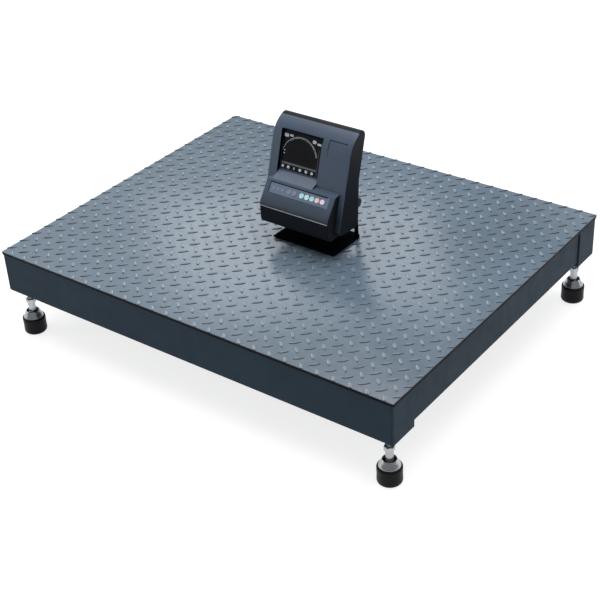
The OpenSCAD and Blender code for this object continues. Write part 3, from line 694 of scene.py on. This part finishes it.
def extruded(name, outline, x0, x1, matrix=at_indicator):
    """A prism along X from an outline in (Y, Z)."""
    n = len(outline)
    verts = [(x, y, z) for x in (x0, x1) for y, z in outline]
    faces = [tuple(range(n)), tuple(range(n, 2 * n))[::-1]]
    faces += [(k, n + k, n + (k + 1) % n, (k + 1) % n) for k in range(n)]
    return solid(name, verts, faces, matrix)


def block(name, x, y, z, matrix=at_indicator, r=0):
    outline = fillet(rectangle(x, y), r, 6) if r else rectangle(x, y)
    return solid(name, *prism(outline, [(z[0], 0), (z[1], 0)]), matrix)


def cylinder(name, x, y, r, z, matrix=at_indicator):
    outline = [(x + px, y + py) for px, py, _ in circle(r, 40, 0)]
    return solid(name, *prism(outline, [(z[0], 0), (z[1], 0)]), matrix)


def combine(base, *steps):
    """Applies booleans in order: each step is (operation, object). The tools are removed."""
    for operation, tool in steps:
        mod = base.modifiers.new("cut", "BOOLEAN")
        mod.operation = operation
        mod.object = tool
        mod.solver = "EXACT"
        bpy.context.view_layer.update()
        made = bpy.data.meshes.new_from_object(base.evaluated_get(bpy.context.evaluated_depsgraph_get()))
        base.modifiers.clear()
        old = base.data
        base.data = made
        bpy.data.meshes.remove(old)
        mesh = tool.data
        bpy.data.objects.remove(tool)
        bpy.data.meshes.remove(mesh)
    return base


def casing(name, t=0.0, r_body=3.6, r_ledge=2.4):
    """The whole case, body and ledge, inset by t."""
    body = solid(name, *swell(body_outline, BODY_HALF, t, r_body))
    ledge = solid(name + "_ledge", *swell(ledge_outline, LEDGE_HALF, t, r_ledge))
    return combine(body, ("UNION", ledge))


def rear_zone(name):
    """All the space on the rear shell's side of the line where the shells meet."""
    parting = [(36, 275), (90, 275), (90, 40), (8, 40), (12, PARTING_Z), (14, 156)]
    low = block(name + "_low", (-87.4, 87.4), (-90, 20), (40, PARTING_Z))
    return combine(extruded(name, parting, -600, 600), ("UNION", low))


def behind_face(v, d):
    """(Y, Z) of the point v up the face and d behind it."""
    return (FACE_FOOT[0] + v * math.sin(LEAN) + d * math.cos(LEAN),
            FACE_FOOT[1] + v * math.cos(LEAN) - d * math.sin(LEAN))


def recess(name, g):
    """The window's recess, open to the front, grown by g."""
    low, high = behind_face(WINDOW_Y[0] - g, 8 + g), behind_face(WINDOW_Y[1] + g, 8 + g)
    far = (high[0] - 70 * math.cos(LEAN), high[1] + 70 * math.sin(LEAN))
    sill = (low[0] - SILL_RUN, low[1] - SILL_DROP - g / 2)
    return extruded(name, [low, high, far, sill], WINDOW_X[0] - g, WINDOW_X[1] + g)


def bevelled(ob, width, angle=38):
    weld = ob.modifiers.new("weld", "WELD")
    weld.merge_threshold = 2e-6
    flat = ob.modifiers.new("flat", "DECIMATE")
    flat.decimate_type = "DISSOLVE"
    flat.angle_limit = math.radians(0.5)
    bevel = ob.modifiers.new("bevel", "BEVEL")
    bevel.width = width * MM
    bevel.segments = 2
    bevel.limit_method = "ANGLE"
    bevel.angle_limit = math.radians(angle)
    bevel.use_clamp_overlap = True
    bevel.miter_outer = "MITER_ARC"
    normals = ob.modifiers.new("normals", "WEIGHTED_NORMAL")
    normals.keep_sharp = True


def front_case():
    shell = combine(casing("indicator_front_shell"), ("DIFFERENCE", casing("hollow", 2.5, 2.2, 1.2)))
    rim = combine(recess("rim", 3), ("INTERSECT", casing("rim_in")))
    shelf = extruded("shelf", [(-24, 140.7), (-41, 140.7), (-41, 147), (-24, 152)],
                     WINDOW_X[0] + 0.3, WINDOW_X[1] - 0.3)
    shell = combine(shell, ("UNION", rim), ("UNION", shelf), ("DIFFERENCE", rear_zone("zone")),
                    ("DIFFERENCE", recess("window", 0)),
                    ("DIFFERENCE", block("opening", (-72, 23), (92, 173), (-20, 4), on_face)))
    badge_cut = combine(block("badge_cut", (43, 86), (-90, 40), (206, 238)),
                        ("INTERSECT", casing("badge_out", -1)),
                        ("DIFFERENCE", casing("badge_in", 1, 2.6, 1.4)))
    strip_cut = block("strip_cut", (-75, 75), (-12.5, 12.5), (-0.4, 3), on_slope, 1.2)
    shell = combine(shell, ("DIFFERENCE", badge_cut), ("DIFFERENCE", strip_cut))
    for x in KEY_XS:
        shell = combine(shell, ("DIFFERENCE", cylinder("key_cut", x, 0, KEY_HOLE_R, (-5, 5), on_slope)))
    dress(shell, mats["front_plastic"], "indicator", ["front_shell"], 30)
    bevelled(shell, 0.45)


def rear_case():
    shell = casing("indicator_rear_shell")
    box = solid("box", *swell(housing_outline, 75, 0, 2.5))
    shell = combine(shell, ("UNION", box), ("INTERSECT", rear_zone("zone")),
                    ("DIFFERENCE", casing("hollow", 2.5, 2.2, 1.2)),
                    ("DIFFERENCE", solid("box_in", *swell(housing_outline, 75, 2.5, 1))))
    cuts = [block("bay", (-52, 52), (48, 60), (61, 131)),
            block("serial_cut", (-10.1, 10.1), (45, 60), (140.9, 151.1))]
    cuts += [cylinder("socket_cut", x, 146, r, (-60, -45), at_back) for x, r in ((-45, 8.05), (42, 5.55))]
    for x, y, z in ((91.5, 75, 20.6), (-91.5, 75, 20.6), (86, 222, 46.5), (-86, 222, 46.5)):
        cuts.append(cylinder("screw_cut", x, y, 3.2, (-z - 8, -z + 2), at_back))
    across = at_indicator @ Matrix.Translation((0, 34.5, 95)) @ Matrix.Rotation(math.pi / 2, 4, "Y")
    cuts += [cylinder("pivot_cut", 0, 0, 3.05, z, across) for z in ((-85, -65), (65, 85))]
    cuts += [block("vent", (-42, 42), (24, 60), (z, z + 2.4)) for z in range(172, 221, 6)]
    for cut in cuts:
        shell = combine(shell, ("DIFFERENCE", cut))
    dress(shell, mats["rear_plastic"], "indicator", ["rear_shell"], 30)
    bevelled(shell, 0.5)


def case_trim():
    """The bright line where the two shells meet, along the ledge's front and its left side."""
    hw, front, back, r = LEDGE_HALF + 0.15, -74.15, -47, 2.6
    corner = arc((-hw + r, front + r), r, 180, 270, 6)
    right = [(-x, y) for x, y in reversed(corner)]
    line = [(-hw, back)] + corner + right[:3]
    verts = []
    section = [(0.0, -0.85), (0.35, -0.65), (0.45, 0), (0.35, 0.65), (0, 0.85), (-0.9, 0.8), (-0.9, -0.8)]
    n = len(section)
    for i, p in enumerate(line):
        q, o = Vector(line[min(i + 1, len(line) - 1)]), Vector(line[max(i - 1, 0)])
        along = (q - o).normalized()
        out = Vector((along.y, -along.x))
        verts += [(p[0] + out.x * d, p[1] + out.y * d, PARTING_Z + z) for d, z in section]
    faces = bands(len(line), n) + [tuple(range(n)), tuple(range(len(verts) - n, len(verts)))[::-1]]
    Build().add(verts, faces, at_indicator).piece("case_parting_trim", trim_metal, "indicator",
                                                  slot="front_plastic")


def battery_cover_ribs():
    build = Build()
    on_cover = (at_indicator @ Matrix.Translation((0, 52, 0)) @ Matrix.Rotation(math.pi / 2, 4, "X")
                @ Matrix.Scale(-1, 4, (0, 0, 1)))
    for x in range(-36, 37, 12):
        build.add(*rounded_box((x - 1.2, x + 1.2), (68, 112), (0, 1.1), 1.1), on_cover)
    build.piece("battery_cover_ribs", mats["rear_plastic"], "indicator", slot="rear_plastic")


def window_graphics():
    """The pane, with generic marks laid on its front."""
    pane = fillet(rectangle((-75.9, 26.9), (88.1, 176.9)), 0.8, 3)
    glass = Build().add(*prism(pane, [(PANE - 2, 0), (PANE - 0.25, 0), (PANE, 0.25)]), on_face)
    glass.piece("window_glass", mats["window_black"], "indicator", slot="window_black",
                stands_for=["window_lens"])
    ink = Build()
    top = (PANE - 0.02, PANE + 0.1)

    def ribbon(cx, cy, r0, r1, a0, a1):
        n = 40
        inner, outer = arc((cx, cy), r0, a0, a1, n), arc((cx, cy), r1, a0, a1, n)
        verts = []
        for p, q in zip(inner, outer):
            verts += [(*p, top[0]), (*q, top[0]), (*q, top[1]), (*p, top[1])]
        ends = [(0, 1, 2, 3), (4 * n + 3, 4 * n + 2, 4 * n + 1, 4 * n)]
        ink.add(verts, bands(n + 1, 4) + ends, on_face)

    def patch(target, x, y, r):
        target.add(*prism(fillet(rectangle(x, y), r, 3), [(top[0], 0), (top[1], 0)]), on_face)

    ribbon(-29, 121, 44.2, 44.9, 16, 163)
    ribbon(-29, 121, 42.0, 42.5, 14, 130)
    patch(ink, (-72.5, -62), (159.5, 167), 2.5)
    patch(ink, (-59.5, -50), (162.5, 166.5), 1.6)
    patch(ink, (-1, 8), (160, 167), 2.5)
    patch(ink, (11, 21), (158.5, 163), 1.6)
    for y in (131.5, 125):
        patch(ink, (-69.6, -66.6), (y - 1.2, y + 1.2), 1)
    for x, half in ((-68, 2.8), (-53.7, 3.0), (-39, 1.2), (-23.6, 3.0), (-8, 3.0), (6.5, 3.0)):
        patch(ink, (x - half, x + half), (95.3, 100.7), 1.2)
    ink.piece("window_marks", white_ink, "indicator", slot="window_black")
    pale = Build()
    patch(pale, (-72, 16), (103.5, 107.5), 0.4)
    patch(pale, (17.2, 18), (93, 150), 0.3)
    pale.piece("window_band", grey_ink, "indicator", slot="window_black")


def recess_liner():
    """Thin skins inside the window's recess: black sides and top that paint its shade, and a pale shelf below
    the lens that paints the light on its upward face.
    """
    x0, x1 = WINDOW_X
    y0, y1 = WINDOW_Y
    back, front, skin = PANE + 0.05, -0.45, 0.3
    slab = [(0, 1, 2, 3), (7, 6, 5, 4)] + bands(2, 4)
    # Painted shade: near-black skins on the recess's sides and top.
    walls = Build()
    for x in ((x0 + 0.02, x0 + 0.02 + skin), (x1 - 0.02 - skin, x1 - 0.02)):
        outline = [(y0 + 0.1, back), (y1 - 0.05, back), (y1 - 0.05, front), (y0 - 4, front)]
        walls.add([(v, y, z) for v in x for y, z in outline], slab, on_face)
    walls.add(*prism(rectangle((x0 + 0.3, x1 - 0.3), (y1 - 0.05 - skin, y1 - 0.05)),
                     [(back, 0), (front, 0)]), on_face)
    walls.piece("window_recess_sides", recess_shade_black, "indicator", slot="front_plastic")
    # Painted light: a paler copy of the case plastic on the shelf below the lens.
    y_low, z_low = behind_face(y0, 7.7)
    depth = 25.6
    drop = depth * SILL_DROP / SILL_RUN
    verts = [(x, y_low - depth * t, z_low - drop * t + h) for x in (x0 + 0.35, x1 - 0.35)
             for t, h in ((0, 0.02), (1, 0.02), (1, 0.3), (0, 0.3))]
    Build().add(verts, slab, at_indicator).piece("window_shelf", shelf_lit_plastic, "indicator",
                                                 slot="front_plastic")


def badge_shade_line():
    """Painted shade: a dark line along the badge recess's top and left sides, on the face and the brow."""
    build = Build()
    steps = 12
    for x, z in (((42.6, 86.4), (237.6, 238.6)), ((42.4, 43.4), (205.6, 238.6))):
        verts = []
        for i in range(steps + 1):
            h = z[0] + (z[1] - z[0]) * i / steps
            near, far = outer_y(h) - 0.05, outer_y(h) + 0.43
            verts += [(x[0], near, h), (x[1], near, h), (x[1], far, h), (x[0], far, h)]
        ends = [(0, 1, 2, 3), tuple(4 * steps + k for k in (3, 2, 1, 0))]
        build.add(verts, ends + bands(steps + 1, 4), at_indicator)
    build.piece("badge_shade_line", shade_line_paint, "indicator", slot="front_plastic")


def outer_y(z):
    """Depth of the case's front surface at a height above the deck."""
    points = [p for p in body_outline(0) if p[0] < 40 and p[1] > 60]
    spans = [(a, b) for a, b in zip(points, points[1:])
             if a[1] != b[1] and min(a[1], b[1]) <= z <= max(a[1], b[1])]
    return min(a[0] + (b[0] - a[0]) * (z - a[1]) / (b[1] - a[1]) for a, b in spans)


def key_strip():
    """The film along the ledge, dark lines of painted shade along its top, bottom and left edges, its blank
    marks, and the seven keys.
    """
    hw, hh = 74.9, 12.4
    film = solid("key_strip_film", *prism(fillet(rectangle((-hw, hw), (-hh, hh)), 1.2, 5),
                                          [(-0.4, 0), (-0.05, 0), (0, 0.08)]), on_slope)
    for x in KEY_XS:
        film = combine(film, ("DIFFERENCE", cylinder("hole", x, 0, KEY_HOLE_R, (-3, 3), on_slope)))
    dress(film, mats["label_film"], "indicator", ["key_label"], 30)
    # Painted shade: dark lines along the film's top, bottom and left edges.
    line = Build()
    for x, y in (((-hw + 0.2, hw - 4), (hh - 2.1, hh - 0.1)), ((-hw + 0.6, hw - 0.6), (-hh + 0.3, -hh + 1.1)),
                 ((-hw + 0.2, -hw + 1.9), (-hh + 0.3, hh - 0.1))):
        line.add(*prism(rectangle(x, y), [(0, 0), (0.06, 0)]), on_slope)
    line.piece("key_strip_shade_line", shade_line_paint, "indicator", slot="label_film")
    marks = Build()
    for x in (-64, -53, -42):
        marks.add(*prism(fillet(rectangle((x - 2.4, x + 2.4), (-2.4, 2.4)), 0.8, 3),
                         [(0, 0), (0.06, 0)]), on_slope)
    marks.piece("key_strip_marks", mats["key_grey"], "indicator", slot="label_film")
    dome = [(0, -6), (1.5, -6), (1.5, -3.5), (6.2, -3.5), (6.2, -2.6), (5.5, -2.5), (5.5, 0.3), (5.3, 0.62),
            (4.9, 0.8), (4.3, 0.84), (3, 0.6), (1.6, 0.46), (0, 0.42)]
    for i, x in enumerate(KEY_XS):
        node = f"key_{i + 1}"
        Build().add(*lathe(dome, 48), on_slope @ Matrix.Translation((x, 0, 0))).piece(
            f"push_key_{i + 1}", mats[slot_of[node]], body_of[node], slot=slot_of[node], stands_for=[node])


# ---------------------------------------------------------------- CAD nodes that stay
def keep(name, bevel):
    ob = nodes[name]
    ob.data.materials.clear()
    ob.data.materials.append(mats[slot_of[name]])
    if "custom_normal" in ob.data.attributes:
        ob.data.attributes.remove(ob.data.attributes["custom_normal"])
    ob.data.polygons.foreach_set("use_smooth", [True] * len(ob.data.polygons))
    bevelled(ob, bevel, 35)


def kept_nodes():
    sizes = {"front_channel": 1.6, "rear_channel": 1.6, "left_channel": 1.6, "right_channel": 1.6,
             "channel_end_plates": 1.0, "cross_ribs": 1.5, "cell_blocks": 1.0, "load_cells": 0.8,
             "cell_bolts": 0.5, "junction_box": 1.2, "junction_box_lid": 0.6, "stand_bracket": 0.7,
             "battery": 1.5, "battery_cover": 0.6, "cell_leads": 0.0}
    hidden = {"deck_plate", "front_shell", "rear_shell", "window_lens", "key_label"}
    hidden |= {f"key_{i}" for i in range(1, 8)}
    hidden |= {f"{side}_{part}" for side in SIDES for part in FOOT_PARTS}
    for name in sorted(set(nodes) - hidden):
        keep(name, sizes.get(name, 0.25))


chequer_deck()
weld_bead()
feet()
front_case()
rear_case()
case_trim()
battery_cover_ribs()
window_graphics()
recess_liner()
badge_shade_line()
key_strip()
kept_nodes()

# ---------------------------------------------------------------- floor, light and camera
scene = bpy.context.scene
scene.view_settings.view_transform = "Standard"
scene.view_settings.look = "None"

floor_mesh = bpy.data.meshes.new("floor")
floor_mesh.from_pydata([(-30, -30, 0), (30, -30, 0), (30, 30, 0), (-30, 30, 0)], [], [(0, 1, 2, 3)])
floor = bpy.data.objects.new("floor", floor_mesh)
scene.collection.objects.link(floor)
paper = Shader("floor_paper", Specular_IOR_Level=0.1, Roughness=0.9)
greys = [(0.3, (0.32, 0.32, 0.32, 1)), (0.7, (0.35, 0.35, 0.35, 1))]
paper.to("Base Color", paper.ramp(paper.noise(0.6, 2), greys))
paper.bsdf.inputs["Emission Color"].default_value = (1, 1, 1, 1)
paper.bsdf.inputs["Emission Strength"].default_value = 0.78
floor.data.materials.append(paper.material)

world = bpy.data.worlds.new("studio")
scene.world = world
world.use_nodes = True
wt = world.node_tree
background = wt.nodes["Background"]
sky = wt.nodes.new("ShaderNodeTexCoord")
split = wt.nodes.new("ShaderNodeSeparateXYZ")
wt.links.new(sky.outputs["Generated"], split.inputs[0])
height = wt.nodes.new("ShaderNodeValToRGB")
wt.links.new(split.outputs["Z"], height.inputs["Fac"])
stops = height.color_ramp
stops.elements[0].position, stops.elements[0].color = 0.0, (0.3, 0.31, 0.33, 1)
stops.elements[1].position, stops.elements[1].color = 0.8, (0.95, 0.97, 1.0, 1)
wt.links.new(height.outputs["Color"], background.inputs["Color"])
background.inputs["Strength"].default_value = 0.55


def softbox(name, place, aim, size, power, colour=(1, 1, 1)):
    light = bpy.data.lights.new(name, "AREA")
    light.shape = "RECTANGLE"
    light.size, light.size_y = size
    light.energy = power
    light.color = colour
    ob = bpy.data.objects.new(name, light)
    ob.location = place
    ob.rotation_mode = "QUATERNION"
    ob.rotation_quaternion = (Vector(aim) - Vector(place)).to_track_quat("-Z", "Y")
    scene.collection.objects.link(ob)
    return ob


softbox("top_light", (0.2, 0.1, 3.4), (0, 0, 0.2), (3.2, 3.2), 125)
softbox("back_light", (-1.42, 1.55, 1.75), (-0.05, -0.15, 0.2), (1.5, 1.1), 13, (0.98, 0.99, 1))
softbox("left_light", (-2.1, -1.5, 0.75), (0, 0, 0.2), (0.5, 0.9), 9)
softbox("right_light", (2.0, 1.5, 0.75), (0, 0, 0.2), (0.5, 0.9), 6)

azimuth, elevation, roll = (math.radians(a) for a in (38.271, 32.553, 3.3257))
target, distance = Vector((0.15119, -0.20379, 0.2)), 2.6213
backward = Vector((math.sin(azimuth) * math.cos(elevation), -math.cos(azimuth) * math.cos(elevation),
                   math.sin(elevation)))
rightward = (-backward).cross(Vector((0, 0, 1))).normalized()
upward = rightward.cross(-backward)
rolled_right = rightward * math.cos(roll) - upward * math.sin(roll)
rolled_up = rightward * math.sin(roll) + upward * math.cos(roll)
camera = bpy.data.cameras.new("camera")
camera.lens = 79.151
camera.sensor_width = 36
eye = bpy.data.objects.new("camera", camera)
rotation = Matrix((rolled_right, rolled_up, backward)).transposed().to_4x4()
eye.matrix_world = Matrix.Translation(target + backward * distance) @ rotation
scene.collection.objects.link(eye)
scene.camera = eye
